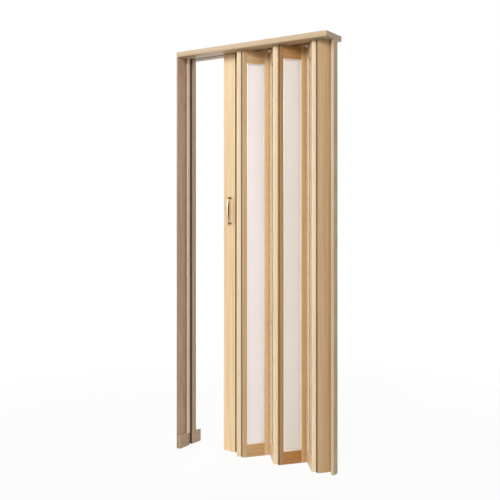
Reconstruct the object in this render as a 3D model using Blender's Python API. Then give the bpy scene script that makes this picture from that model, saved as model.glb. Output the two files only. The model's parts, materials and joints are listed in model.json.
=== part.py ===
"""Accordion door of glazed timber panels, hung from a track in its own door frame.

The origin is on the floor, under the middle of the frame. X runs from the strike
jamb on the left to the wall post on the right, Y runs from front to back, and the
door is shown partly folded. All sizes are in metres.
"""
import math

import bmesh
import bpy

# Frame
FRAME_WIDTH = 0.870
FRAME_HEIGHT = 2.050
JAMB_THICK = 0.010
JAMB_DEPTH = 0.153
HEAD_THICK = 0.026
SKIRTING_DEPTH = 0.180
SKIRTING_HEIGHT = 0.065
SKIRTING_THICK = 0.012
TRACK_SETBACK = 0.092

# Clearances
SEAM = 0.0003
STRIKE_PLAY = 0.002
STRIKE_SEAT = 0.008
FLOOR_GAP = 0.010
TOP_GAP = 0.002
GLIDER_PLAY = 0.0003
PIN_PLAY = 0.0003
KNUCKLE_PLAY = 0.0003
KNUCKLE_END_PLAY = 0.0004
SWING_CLEAR = 0.0009

# Battens on the strike jamb, and the wall post
STOP_REACH = 0.015
STOP_THICK = 0.020
POST_THICK = 0.015
POST_WIDTH = 0.040

# Panels and lead post
PANEL_THICK = 0.017
LEAD_WIDTH = 0.071
STILE_WIDTH = 0.024
TOP_RAIL = 0.064
BOTTOM_RAIL = 0.062
FULL_PANELS = 4
REST_FOLD = math.radians(51.9)
CLOSED_FOLD = math.radians(7.0)

# Glazing
GLASS_THICK = 0.004
GASKET_WIDTH = 0.007
GASKET_WEB = 0.001
GASKET_RECESS = 0.001

# Continuous hinges
KNUCKLE_RADIUS = 0.0023
PIN_RADIUS = 0.0010
LEAF_THICK = 0.0008
LEAF_WIDTH = 0.005
LEAF_END_MARGIN = 0.004
ARM_THICK = 0.0012
KNUCKLES_PER_LEAF = 4
ARC_STEPS = 9
PIN_STEPS = 8

# Track and gliders
TRACK_WIDTH = 0.022
TRACK_HEIGHT = 0.016
TRACK_WALL = 0.0015
TRACK_SLOT = 0.009
GLIDER_HEAD_PLAY = 0.0015
GLIDER_HEAD_HEIGHT = 0.004
GLIDER_NECK_PLAY = 0.0010
GLIDER_STEM_RADIUS = 0.0030
GLIDER_STEM_LENGTH = 0.016
GLIDER_STEPS = 16
LEAD_SHOE_LENGTH = 0.056
LEAD_STEM_SPACING = 0.040

# Bow pulls and their studs
PULL_HEIGHT = 1.230
PULL_INSET = 0.041
PULL_CENTRES = 0.128
PULL_PROJECTION = 0.030
FOOT_RADIUS = 0.0085
FOOT_BASE_HEIGHT = 0.0030
FOOT_NECK_RADIUS = 0.0042
FOOT_BALL_RADIUS = 0.0068
FOOT_STEPS = 14
GRIP_HALF_WIDTH = 0.0075
GRIP_HALF_THICK = 0.0032
GRIP_END_SHARE = 0.42
GRIP_ROOT = 0.011
GRIP_STATIONS = 15
GRIP_SIDES = 12
STUD_RADIUS = 0.0020
STUD_PLAY = 0.0003
STUD_ROOT = 0.002
STUD_BITE = 0.003

# Modelling values
CUTTER_OVERRUN = 0.002
MERGE_DISTANCE = 0.00002
SHARP_ANGLE = math.radians(35)

# Finishes as base colour, roughness and metallic value
FINISHES = {
    "light_wood": ((0.74, 0.53, 0.30), 0.45, 0.0),
    "shaded_wood": ((0.50, 0.33, 0.19), 0.50, 0.0),
    "gasket": ((0.90, 0.86, 0.78), 0.45, 0.0),
    "frosted_glass": ((0.84, 0.84, 0.83), 0.55, 0.0),
    "aluminium": ((0.72, 0.72, 0.70), 0.35, 1.0),
    "nylon": ((0.88, 0.87, 0.83), 0.50, 0.0),
    "hinge_strip": ((0.70, 0.51, 0.31), 0.45, 0.0),
    "old_brass": ((0.52, 0.40, 0.26), 0.30, 1.0),
}

# Places that follow from the sizes above
FRONT = -SKIRTING_DEPTH / 2
LEFT = -FRAME_WIDTH / 2
RIGHT = FRAME_WIDTH / 2
HEAD_UNDERSIDE = FRAME_HEIGHT - HEAD_THICK
TRACK_LINE = FRONT + TRACK_SETBACK
PANEL_TOP = HEAD_UNDERSIDE - TOP_GAP
HALF_THICK = PANEL_THICK / 2
GLIDER_HEAD_RADIUS = TRACK_WIDTH / 2 - TRACK_WALL - GLIDER_HEAD_PLAY
GLIDER_NECK_RADIUS = TRACK_SLOT / 2 - GLIDER_NECK_PLAY
PIN_SETBACK = KNUCKLE_RADIUS + KNUCKLE_PLAY + LEAF_THICK + SEAM
POST_SETBACK = math.hypot(PIN_SETBACK, HALF_THICK) + SWING_CLEAR
WALL_PIN = RIGHT - POST_THICK - POST_SETBACK
CLOSED_SPAN = WALL_PIN - LEFT - JAMB_THICK - STRIKE_SEAT - POST_SETBACK - LEAD_WIDTH
CLOSED_STEP = CLOSED_SPAN / (FULL_PANELS + 1)
PANEL_PITCH = (CLOSED_STEP - PANEL_THICK * math.sin(CLOSED_FOLD)) / math.cos(CLOSED_FOLD)


def clear_scene():
    """Remove every object, so the script can be run again in one session."""
    for item in list(bpy.data.objects):
        bpy.data.objects.remove(item, do_unlink=True)


def dress(item, finish):
    """Give an object its own Principled material of the named finish."""
    colour, roughness, metallic = FINISHES[finish]
    material = bpy.data.materials.new(f"{item.name}_{finish}")
    material.use_nodes = True
    shader = material.node_tree.nodes["Principled BSDF"]
    shader.inputs["Base Color"].default_value = (*colour, 1.0)
    shader.inputs["Roughness"].default_value = roughness
    shader.inputs["Metallic"].default_value = metallic
    item.data.materials.append(material)


def add_empty(name, parent, location, turn):
    """Add a joint axis: an empty that its pieces and the next axis hang from."""
    axis = bpy.data.objects.new(name, None)
    bpy.context.collection.objects.link(axis)
    axis.parent = parent
    axis.location = location
    axis.rotation_euler.z = turn
    return axis


def finished_mesh(name, builder):
    """Turn a bmesh into a mesh whose faces point outwards."""
    builder.normal_update()
    bmesh.ops.recalc_face_normals(builder, faces=builder.faces)
    mesh = bpy.data.meshes.new(name)
    builder.to_mesh(mesh)
    builder.free()
    return mesh


def add_piece(name, builder, parent, finish, smooth=False):
    """Turn a bmesh into a named object under its joint axis."""
    mesh = finished_mesh(name, builder)
    item = bpy.data.objects.new(name, mesh)
    bpy.context.collection.objects.link(item)
    item.parent = parent
    if smooth:
        mesh.shade_smooth()
        mesh.set_sharp_from_angle(angle=SHARP_ANGLE)
    dress(item, finish)
    return item


def block(builder, low, high):
    """Add a rectangular block between two corners."""
    made = bmesh.ops.create_cube(builder, size=1.0)["verts"]
    size = [top - base for base, top in zip(low, high)]
    middle = [(base + top) / 2 for base, top in zip(low, high)]
    bmesh.ops.scale(builder, vec=size, verts=made)
    bmesh.ops.translate(builder, vec=middle, verts=made)


def add_block(name, low, high, parent, finish):
    """Add one rectangular piece."""
    builder = bmesh.new()
    block(builder, low, high)
    return add_piece(name, builder, parent, finish)


def raise_outline(builder, points, direction):
    """Close a flat outline and extrude it by a vector."""
    face = builder.faces.new([builder.verts.new(point) for point in points])
    grown = bmesh.ops.extrude_face_region(builder, geom=[face])["geom"]
    moved = [part for part in grown if isinstance(part, bmesh.types.BMVert)]
    bmesh.ops.translate(builder, vec=direction, verts=moved)


def turned(profile, steps):
    """Spin a profile of (radius, height) points, both ends on the axis, about Z."""
    builder = bmesh.new()
    rim = [builder.verts.new((radius, 0.0, height)) for radius, height in profile]
    spine = [builder.edges.new(pair) for pair in zip(rim, rim[1:])]
    bmesh.ops.spin(
        builder, geom=rim + spine, cent=(0, 0, 0), axis=(0, 0, 1), angle=math.tau, steps=steps
    )
    bmesh.ops.remove_doubles(builder, verts=builder.verts, dist=MERGE_DISTANCE)
    return builder


def rod(builder, centre, radius, length, steps):
    """Add an upright round rod by the middle of its foot."""
    made = bmesh.ops.create_cone(
        builder, cap_ends=True, segments=steps, radius1=radius, radius2=radius, depth=length
    )["verts"]
    along, across, foot = centre
    bmesh.ops.translate(builder, vec=(along, across, foot + length / 2), verts=made)


def combine(item, builder, parent, operation):
    """Cut a shape out of a piece or join it on, and keep the shape itself out of sight."""
    name = f"{item.name}_{operation.lower()}_{len(item.modifiers)}"
    tool = bpy.data.objects.new(name, finished_mesh(name, builder))
    bpy.context.collection.objects.link(tool)
    tool.parent = parent
    tool.hide_render = True
    tool.display_type = "WIRE"
    step = item.modifiers.new(name, "BOOLEAN")
    step.operation = operation
    step.solver = "EXACT"
    step.object = tool


def knuckle_outline(reach, inward):
    """Outline of one knuckle with the arm that joins it to its leaf.

    The pin is at the origin, and the leaf lies square across +X, seated on an end
    face that is `reach` from the pin. The arm ends in the middle of the leaf. Where
    the pin lies on a face, the arm keeps to the inward side of it, so that the two
    leaves never meet when the panels fold up.
    """
    leaf_middle = reach - SEAM - LEAF_THICK / 2
    low, high = (0.0, ARM_THICK) if inward else (-ARM_THICK / 2, ARM_THICK / 2)
    start = math.asin(high / KNUCKLE_RADIUS)
    sweep = math.tau + math.asin(low / KNUCKLE_RADIUS) - start
    turns = [start + sweep * step / ARC_STEPS for step in range(ARC_STEPS + 1)]
    points = [(leaf_middle, low), (leaf_middle, high)]
    points += [(KNUCKLE_RADIUS * math.cos(turn), KNUCKLE_RADIUS * math.sin(turn)) for turn in turns]
    side = inward or 1
    return [(along, side * across) for along, across in points]


def bore_outline():
    """Outline of the hole that the pin turns in."""
    radius = PIN_RADIUS + PIN_PLAY
    turns = [math.tau * step / PIN_STEPS for step in range(PIN_STEPS)]
    return [(radius * math.cos(turn), radius * math.sin(turn)) for turn in turns]


def raise_between(builder, outlines, height):
    """Fill the space between flat outlines and raise it by a height."""
    edges = []
    for outline in outlines:
        verts = [builder.verts.new(point) for point in outline]
        edges += [builder.edges.new(pair) for pair in zip(verts, verts[1:] + verts[:1])]
    filled = bmesh.ops.triangle_fill(builder, use_beauty=True, edges=edges)["geom"]
    faces = [part for part in filled if isinstance(part, bmesh.types.BMFace)]
    grown = bmesh.ops.extrude_face_region(builder, geom=faces)["geom"]
    moved = [part for part in grown if isinstance(part, bmesh.types.BMVert)]
    bmesh.ops.translate(builder, vec=(0, 0, height), verts=moved)


def add_hinge_leaf(name, parent, pin, facing, inward, reach, has_pin):
    """Add one leaf of a full-height continuous hinge, with its row of knuckles.

    `facing` is the side along X on which the leaf's own panel lies, and `inward` is
    the way across the thickness from a pin on a face, or 0 for a pin in the middle.
    The leaf that has the pin takes the lower knuckle of each pair.
    """
    along, across = pin
    seat = along + facing * (reach - SEAM)
    face = seat - facing * LEAF_THICK
    rim = across + inward * KNUCKLE_PLAY if inward else across - LEAF_WIDTH / 2
    edge = rim + (inward or 1) * LEAF_WIDTH
    foot = FLOOR_GAP + LEAF_END_MARGIN
    top = PANEL_TOP - LEAF_END_MARGIN
    low = (min(seat, face), min(rim, edge), foot)
    high = (max(seat, face), max(rim, edge), top)
    leaf = add_block(name, low, high, parent, "hinge_strip")

    shapes = [knuckle_outline(reach, inward)]
    if not has_pin:
        shapes.append(bore_outline())
    pitch = (top - foot) / (2 * KNUCKLES_PER_LEAF)
    knuckles = bmesh.new()
    for index in range(KNUCKLES_PER_LEAF):
        slot = 2 * index if has_pin else 2 * index + 1
        base = foot + pitch * slot + KNUCKLE_END_PLAY / 2
        outlines = [
            [(along + facing * forth, across + aside, base) for forth, aside in shape]
            for shape in shapes
        ]
        raise_between(knuckles, outlines, pitch - KNUCKLE_END_PLAY)
    combine(leaf, knuckles, parent, "UNION")
    if has_pin:
        pin_rod = bmesh.new()
        start = foot + KNUCKLE_END_PLAY
        rod(pin_rod, (along, across, start), PIN_RADIUS, top - start - KNUCKLE_END_PLAY, PIN_STEPS)
        combine(leaf, pin_rod, parent, "UNION")


def glider_profile():
    """Profile of a mushroom glider from the foot of its stem to the top of its head."""
    lip_top = HEAD_UNDERSIDE + TRACK_WALL
    head_base = lip_top + GLIDER_PLAY
    head_top = head_base + GLIDER_HEAD_HEIGHT
    shoulder = PANEL_TOP + SEAM
    return [
        (0.0, PANEL_TOP - GLIDER_STEM_LENGTH),
        (GLIDER_STEM_RADIUS, PANEL_TOP - GLIDER_STEM_LENGTH),
        (GLIDER_STEM_RADIUS, shoulder),
        (GLIDER_NECK_RADIUS, shoulder),
        (GLIDER_NECK_RADIUS, head_base),
        (GLIDER_HEAD_RADIUS, head_base),
        (GLIDER_HEAD_RADIUS, head_top),
        (0.0, head_top),
    ]


def bore_for_stem(item, parent, place):
    """Bore the blind hole that a glider's stem stands in."""
    depth = GLIDER_STEM_LENGTH + SEAM
    hole = bmesh.new()
    centre = (*place, PANEL_TOP - depth)
    rod(hole, centre, GLIDER_STEM_RADIUS + SEAM, depth + CUTTER_OVERRUN, GLIDER_STEPS)
    combine(item, hole, parent, "DIFFERENCE")


def add_glider(name, parent, place, carrier):
    """Hang a panel from the track by one glider in the middle of its top rail."""
    bore_for_stem(carrier, parent, place)
    builder = turned(glider_profile(), GLIDER_STEPS)
    bmesh.ops.translate(builder, vec=(*place, 0.0), verts=builder.verts)
    add_piece(name, builder, parent, "nylon", smooth=True)


def add_lead_shoe(parent, centre, carrier):
    """Hang the lead post from a long two-stemmed shoe that keeps it square to the track."""
    start = centre - LEAD_SHOE_LENGTH / 2
    half_section = glider_profile()[3:-1]
    section = half_section + [(-radius, height) for radius, height in reversed(half_section)]
    builder = bmesh.new()
    outline = [(start, across, up) for across, up in section]
    raise_outline(builder, outline, (LEAD_SHOE_LENGTH, 0, 0))
    shoe = add_piece("lead_shoe", builder, parent, "nylon")
    stems = bmesh.new()
    for side in (-1, 1):
        place = (centre + side * LEAD_STEM_SPACING / 2, 0.0)
        bore_for_stem(carrier, parent, place)
        foot = PANEL_TOP - GLIDER_STEM_LENGTH
        length = GLIDER_STEM_LENGTH + SEAM + TOP_GAP / 2
        rod(stems, (*place, foot), GLIDER_STEM_RADIUS, length, GLIDER_STEPS)
    combine(shoe, stems, parent, "UNION")


def build_frame():
    """Make the strike jamb, head, track, battens, wall post and skirting."""
    jamb_top = HEAD_UNDERSIDE - SEAM
    jamb_back = FRONT + JAMB_DEPTH
    left_inner = LEFT + JAMB_THICK
    add_block("left_jamb", (LEFT, FRONT, 0), (left_inner, jamb_back, jamb_top), None, "shaded_wood")

    outer_half = TRACK_WIDTH / 2
    track_start = left_inner
    track_end = RIGHT - POST_THICK
    head_corner = (RIGHT, jamb_back, FRAME_HEIGHT)
    head = add_block("head_board", (LEFT, FRONT, HEAD_UNDERSIDE), head_corner, None, "light_wood")
    groove = bmesh.new()
    groove_half = outer_half + SEAM
    block(
        groove,
        (track_start - SEAM, TRACK_LINE - groove_half, HEAD_UNDERSIDE - CUTTER_OVERRUN),
        (track_end + SEAM, TRACK_LINE + groove_half, HEAD_UNDERSIDE + TRACK_HEIGHT + SEAM),
    )
    combine(head, groove, None, "DIFFERENCE")

    inner_half = outer_half - TRACK_WALL
    slot_half = TRACK_SLOT / 2
    lip_top = HEAD_UNDERSIDE + TRACK_WALL
    web_top = HEAD_UNDERSIDE + TRACK_HEIGHT
    half_section = [
        (slot_half, HEAD_UNDERSIDE),
        (outer_half, HEAD_UNDERSIDE),
        (outer_half, web_top),
    ]
    half_hollow = [
        (inner_half, web_top - TRACK_WALL),
        (inner_half, lip_top),
        (slot_half, lip_top),
    ]
    outline = half_section + [(-across, up) for across, up in reversed(half_section)]
    outline += [(-across, up) for across, up in reversed(half_hollow)] + half_hollow
    builder = bmesh.new()
    section = [(track_start, TRACK_LINE + across, up) for across, up in outline]
    raise_outline(builder, section, (track_end - track_start, 0, 0))
    add_piece("track", builder, None, "aluminium")

    channel_half = HALF_THICK + STRIKE_PLAY
    batten_foot = SKIRTING_HEIGHT + SEAM
    inner = left_inner + SEAM
    tip = left_inner + STOP_REACH
    skirting_tip = left_inner + SKIRTING_THICK
    back = FRONT + SKIRTING_DEPTH
    sides = (("front", -1, FRONT, "light_wood"), ("rear", 1, back, "shaded_wood"))
    for side, way, end, finish in sides:
        channel = TRACK_LINE + way * channel_half
        outer = channel + way * STOP_THICK
        low = (inner, min(outer, channel), batten_foot)
        high = (tip, max(outer, channel), jamb_top)
        add_block(f"{side}_stop", low, high, None, finish)
        low = (inner, min(end, channel), 0)
        high = (skirting_tip, max(end, channel), SKIRTING_HEIGHT)
        add_block(f"{side}_skirting", low, high, None, "shaded_wood")
    post_half = POST_WIDTH / 2
    add_block(
        "wall_post",
        (RIGHT - POST_THICK, TRACK_LINE - post_half, 0),
        (RIGHT, TRACK_LINE + post_half, jamb_top),
        None,
        "light_wood",
    )


def add_glazing(name, axis, low, high, middle):
    """Make the pane and the channel gasket that holds its edge in one panel's opening."""
    left, bottom = low
    right, top = high
    pane_half = GLASS_THICK / 2
    web = SEAM + GASKET_WEB
    edge = web + SEAM
    add_block(
        f"{name}_glass",
        (left + edge, middle - pane_half, bottom + edge),
        (right - edge, middle + pane_half, top - edge),
        axis,
        "frosted_glass",
    )
    lip = pane_half + SEAM
    outer = HALF_THICK - GASKET_RECESS
    half_section = [(SEAM, outer), (GASKET_WIDTH, outer), (GASKET_WIDTH, lip), (web, lip)]
    section = half_section + [(inset, -depth) for inset, depth in reversed(half_section)]
    rings = [
        [
            (left + inset, middle + depth, bottom + inset),
            (right - inset, middle + depth, bottom + inset),
            (right - inset, middle + depth, top - inset),
            (left + inset, middle + depth, top - inset),
        ]
        for inset, depth in section
    ]
    builder = bmesh.new()
    loft(builder, rings, is_ring=True)
    add_piece(f"{name}_gasket", builder, axis, "gasket")


def build_full_panel(name, axis, middle):
    """Make one glazed panel; `middle` is its middle plane beside the joint axis."""
    start = PIN_SETBACK
    end = PANEL_PITCH - PIN_SETBACK
    front = middle + HALF_THICK
    back = middle - HALF_THICK
    first = start + STILE_WIDTH
    last = end - STILE_WIDTH
    stiles = (("right", start, first), ("left", last, end))
    for side, low, high in stiles:
        low_corner = (low, back, FLOOR_GAP)
        add_block(f"{name}_{side}_stile", low_corner, (high, front, PANEL_TOP), axis, "light_wood")
    opening_bottom = FLOOR_GAP + BOTTOM_RAIL
    opening_top = PANEL_TOP - TOP_RAIL
    rails = (("bottom", FLOOR_GAP, opening_bottom), ("top", opening_top, PANEL_TOP))
    rail_start = first + SEAM
    rail_end = last - SEAM
    for place, low, high in rails:
        rail = add_block(
            f"{name}_{place}_rail", (rail_start, back, low), (rail_end, front, high), axis, "light_wood"
        )
    add_glider(f"{name}_glider", axis, (PANEL_PITCH / 2, middle), rail)
    add_glazing(name, axis, (first, opening_bottom), (last, opening_top), middle)


def foot_profile():
    """Profile of one turned foot of a pull, from its seat outwards."""
    ball_centre = PULL_PROJECTION - FOOT_BALL_RADIUS - GRIP_HALF_THICK
    neck_angle = math.asin(FOOT_NECK_RADIUS / FOOT_BALL_RADIUS)
    points = [
        (0.0, 0.0),
        (FOOT_RADIUS, 0.0),
        (FOOT_RADIUS, FOOT_BASE_HEIGHT / 2),
        (FOOT_NECK_RADIUS, FOOT_BASE_HEIGHT),
    ]
    steps = FOOT_STEPS // 2
    for step in range(steps + 1):
        angle = math.pi - neck_angle - (math.pi - neck_angle) * step / steps
        height = ball_centre + FOOT_BALL_RADIUS * math.cos(angle)
        points.append((FOOT_BALL_RADIUS * math.sin(angle) if step < steps else 0.0, height))
    return points


def grip_rings():
    """Elliptical rings of the bowed, swelling grip, which ends inside the feet's necks."""
    length = PULL_CENTRES - FOOT_NECK_RADIUS
    rings = []
    for station in range(GRIP_STATIONS):
        share = station / (GRIP_STATIONS - 1)
        swell = math.sin(math.pi * share)
        height = length * (share - 1 / 2)
        bow = GRIP_ROOT + (PULL_PROJECTION - GRIP_HALF_THICK - GRIP_ROOT) * swell ** (1 / 2)
        half_width = GRIP_HALF_WIDTH * (GRIP_END_SHARE + (1 - GRIP_END_SHARE) * swell)
        ring = []
        for side in range(GRIP_SIDES):
            turn = math.tau * side / GRIP_SIDES
            ring.append((half_width * math.cos(turn), bow + GRIP_HALF_THICK * math.sin(turn), height))
        rings.append(ring)
    return rings


def loft(builder, rings, is_ring=False):
    """Join rings of points into one closed skin, with flat ends or joined in a ring."""
    made = [[builder.verts.new(point) for point in ring] for ring in rings]
    pairs = list(zip(made, made[1:]))
    if is_ring:
        pairs.append((made[-1], made[0]))
    for ring, following in pairs:
        for index in range(len(ring)):
            corners = (ring[index - 1], ring[index], following[index], following[index - 1])
            builder.faces.new(corners)
    if not is_ring:
        builder.faces.new(made[0])
        builder.faces.new(made[-1])


def on_face(builder, along, seat, outward, height):
    """Stand a shape that was made along +Z on the post's face, pointing outward."""
    for point in builder.verts:
        radial, across, out = point.co
        point.co = (along + radial, seat + outward * out, height + across)


def build_pull(name, axis, along, outward):
    """Make one bow pull, its feet on the lead post's face and its grip bowed outward."""
    seat = outward * (HALF_THICK + SEAM)
    builder = bmesh.new()
    loft(builder, grip_rings())
    for point in builder.verts:
        across, out, up = point.co
        point.co = (along + across, seat + outward * out, PULL_HEIGHT + up)
    pull = add_piece(name, builder, axis, "old_brass", smooth=True)
    for side in (-1, 1):
        foot = turned(foot_profile(), FOOT_STEPS)
        on_face(foot, along, seat, outward, PULL_HEIGHT + side * PULL_CENTRES / 2)
        combine(pull, foot, axis, "UNION")
    return pull


def fix_pulls(front_pull, rear_pull, post, axis, along):
    """Run two studs from the front pull through the post into the rear pull's feet."""
    seat = HALF_THICK + SEAM
    reach = 2 * seat + STUD_BITE
    sleeve = STUD_RADIUS + STUD_PLAY
    for side in (-1, 1):
        stud, hole, socket = bmesh.new(), bmesh.new(), bmesh.new()
        rod(stud, (0, 0, -reach), STUD_RADIUS, reach + STUD_ROOT, PIN_STEPS)
        rod(hole, (0, 0, -2 * seat - SEAM), sleeve, 2 * (seat + SEAM), PIN_STEPS)
        rod(socket, (0, 0, -reach - STUD_PLAY), sleeve, reach - seat, PIN_STEPS)
        fixings = (
            (front_pull, stud, "UNION"),
            (post, hole, "DIFFERENCE"),
            (rear_pull, socket, "DIFFERENCE"),
        )
        for item, builder, operation in fixings:
            on_face(builder, along, seat, 1, PULL_HEIGHT + side * PULL_CENTRES / 2)
            combine(item, builder, axis, operation)


def build_lead(axis):
    """Make the lead post with its shoe and its pair of pulls."""
    start = POST_SETBACK
    end = start + LEAD_WIDTH
    centre = (start + end) / 2
    pull_line = end - PULL_INSET
    low = (start, -HALF_THICK, FLOOR_GAP)
    post = add_block("lead_post", low, (end, HALF_THICK, PANEL_TOP), axis, "light_wood")
    add_lead_shoe(axis, centre, post)
    front_pull = build_pull("front_pull", axis, pull_line, 1)
    rear_pull = build_pull("rear_pull", axis, pull_line, -1)
    fix_pulls(front_pull, rear_pull, post, axis, pull_line)


def build_door():
    """Hang the chain of panels from the wall pin, each on its own joint axis.

    The fold pins lie in turn on the back face, where two panels form a ridge towards
    the front, and on the front face, where they form a valley. The two half panels
    turn about pins in their middle plane, so every full panel's middle stays under
    the track.
    """
    wall_place = (WALL_PIN, TRACK_LINE)
    add_hinge_leaf("hinge_1_pin_leaf", None, wall_place, 1, 0, POST_SETBACK, has_pin=True)
    count = FULL_PANELS + 2
    parent = add_empty("fold_1", None, (*wall_place, 0), math.pi + REST_FOLD)
    near = 0.0
    for number in range(1, count + 1):
        is_half = number in (1, count)
        ridge = number % 2
        far = -HALF_THICK if ridge else HALF_THICK
        if number == count:
            far = 0.0
        span = PANEL_PITCH / 2 if is_half else PANEL_PITCH
        name = f"panel_{number}"
        middle = -near
        if is_half:
            add_block(
                f"{name}_board",
                (PIN_SETBACK, middle - HALF_THICK, FLOOR_GAP),
                (span - PIN_SETBACK, middle + HALF_THICK, PANEL_TOP),
                parent,
                "light_wood",
            )
        else:
            build_full_panel(name, parent, middle)
        sides = ((near > 0) - (near < 0), (far > 0) - (far < 0))
        near_leaf = f"hinge_{number}_bored_leaf"
        add_hinge_leaf(near_leaf, parent, (0, 0), 1, -sides[0], PIN_SETBACK, has_pin=False)
        pin = (span, middle + far)
        far_leaf = f"hinge_{number + 1}_pin_leaf"
        add_hinge_leaf(far_leaf, parent, pin, -1, -sides[1], PIN_SETBACK, has_pin=True)
        turn = REST_FOLD if number == count else 2 * REST_FOLD
        turn = -turn if ridge else turn
        parent = add_empty(f"fold_{number + 1}", parent, (*pin, 0), turn)
        near = far
    last_leaf = f"hinge_{count + 1}_bored_leaf"
    add_hinge_leaf(last_leaf, parent, (0, 0), 1, 0, POST_SETBACK, has_pin=False)
    build_lead(parent)


def main():
    """Build the whole door."""
    clear_scene()
    build_frame()
    build_door()


main()
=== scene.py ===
"""Looks of a half-folded accordion door in its own timber frame.

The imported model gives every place: boards, panes and beads are softened copies of its
nodes, the strip hinges and bow pulls are modelled here at the places that the joints
and nodes give, and each surface gets a procedural finish. Lengths are in metres, and
colours are linear.
"""

import json
import logging
import math
from dataclasses import dataclass
from enum import Enum
from typing import Any, Iterable, Sequence

import bmesh
import bpy
from bmesh.types import BMEdge, BMesh, BMVert
from bpy.types import Object
from mathutils import Matrix, Vector


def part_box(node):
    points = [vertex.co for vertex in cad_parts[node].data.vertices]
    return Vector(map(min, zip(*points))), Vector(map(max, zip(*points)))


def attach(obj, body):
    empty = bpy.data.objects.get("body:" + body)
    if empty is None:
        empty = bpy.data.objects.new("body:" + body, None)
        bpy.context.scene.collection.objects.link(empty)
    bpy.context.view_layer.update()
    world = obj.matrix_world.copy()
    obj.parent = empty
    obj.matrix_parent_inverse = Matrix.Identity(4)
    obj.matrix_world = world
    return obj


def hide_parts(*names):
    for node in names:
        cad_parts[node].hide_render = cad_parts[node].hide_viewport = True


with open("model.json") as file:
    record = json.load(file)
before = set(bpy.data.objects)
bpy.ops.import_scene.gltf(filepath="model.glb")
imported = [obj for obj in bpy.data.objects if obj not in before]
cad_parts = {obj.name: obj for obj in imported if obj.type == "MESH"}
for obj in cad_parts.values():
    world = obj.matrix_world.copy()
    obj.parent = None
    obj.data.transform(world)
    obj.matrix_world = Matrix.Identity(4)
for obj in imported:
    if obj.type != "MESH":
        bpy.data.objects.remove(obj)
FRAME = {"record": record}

LOG = logging.getLogger("accordion_door")
MM = 0.001
REST_FOLD = math.radians(51.9)
PANEL_COUNT = 6

Colour = Point = tuple[float, float, float]
Pair = tuple[float, float]

FRONTWARD = (0.0, -1.0, 0.0)
RIGHTWARD = (1.0, 0.0, 0.0)
UPWARD = (0.0, 0.0, 1.0)
DOWNWARD = (0.0, 0.0, -1.0)


class Grain(Enum):
    """Which way the grain of a board runs in its own panel."""

    UPRIGHT = "upright"
    LEVEL = "level"


class Side(Enum):
    """Face of the door that a pull stands on, as the direction out of it along Y."""

    FRONT = -1
    REAR = 1


@dataclass(frozen=True)
class Speckle:
    """Noise pattern, with the band of values that it fades in over as patches."""

    scale: float = 1.0
    stretch: Point = (1.0, 1.0, 1.0)
    detail: float = 2.0
    distortion: float = 0.0
    band: Pair = (0.0, 1.0)


SMOOTH_STEP = {"interpolation_type": "SMOOTHSTEP", "clamp": True}


class Wire:
    """One socket of a shader graph, with the arithmetic that the patterns need."""

    def __init__(self, graph: "Graph", socket: bpy.types.NodeSocket) -> None:
        """Wrap an output socket of a graph."""
        self.graph = graph
        self.socket = socket

    def _math(self, operation: str, *values: Any) -> "Wire":
        """Add a Math node on some values."""
        return self.graph.node("ShaderNodeMath", {"operation": operation}, dict(enumerate(values)))

    def __add__(self, other: Any) -> "Wire":
        """Add."""
        return self._math("ADD", self, other)

    __radd__ = __add__

    def __sub__(self, other: Any) -> "Wire":
        """Subtract."""
        return self._math("SUBTRACT", self, other)

    def __rsub__(self, other: Any) -> "Wire":
        """Subtract from a plain number."""
        return self._math("SUBTRACT", other, self)

    def __mul__(self, other: Any) -> "Wire":
        """Multiply."""
        return self._math("MULTIPLY", self, other)

    __rmul__ = __mul__

    def __pow__(self, other: Any) -> "Wire":
        """Raise to a power."""
        return self._math("POWER", self, other)

    def wave(self) -> "Wire":
        """Sine of the value in radians, moved to run from 0 to 1."""
        return self._math("SINE", self) * (1 / 2) + 1 / 2

    def length_with(self, other: "Wire") -> "Wire":
        """Length of the vector that this value and another make."""
        return (self * self + other * other) ** (1 / 2)

    def about(self, middle: float, change: float) -> "Wire":
        """Shrink a value from between 0 and 1 to a change about a middle."""
        return self * change + (middle - change / 2)

    def ramp(self, low: float, high: float) -> "Wire":
        """Smooth step from 0 at the low value to 1 at the high one."""
        sockets = {"Value": self, "From Min": low, "From Max": high}
        return self.graph.node("ShaderNodeMapRange", SMOOTH_STEP, sockets)

    def parts(self) -> "tuple[Wire, Wire, Wire]":
        """Split a vector into its three values."""
        split = self.graph.node("ShaderNodeSeparateXYZ", {}, {"Vector": self})
        return tuple(Wire(self.graph, output) for output in split.socket.node.outputs)


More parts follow.
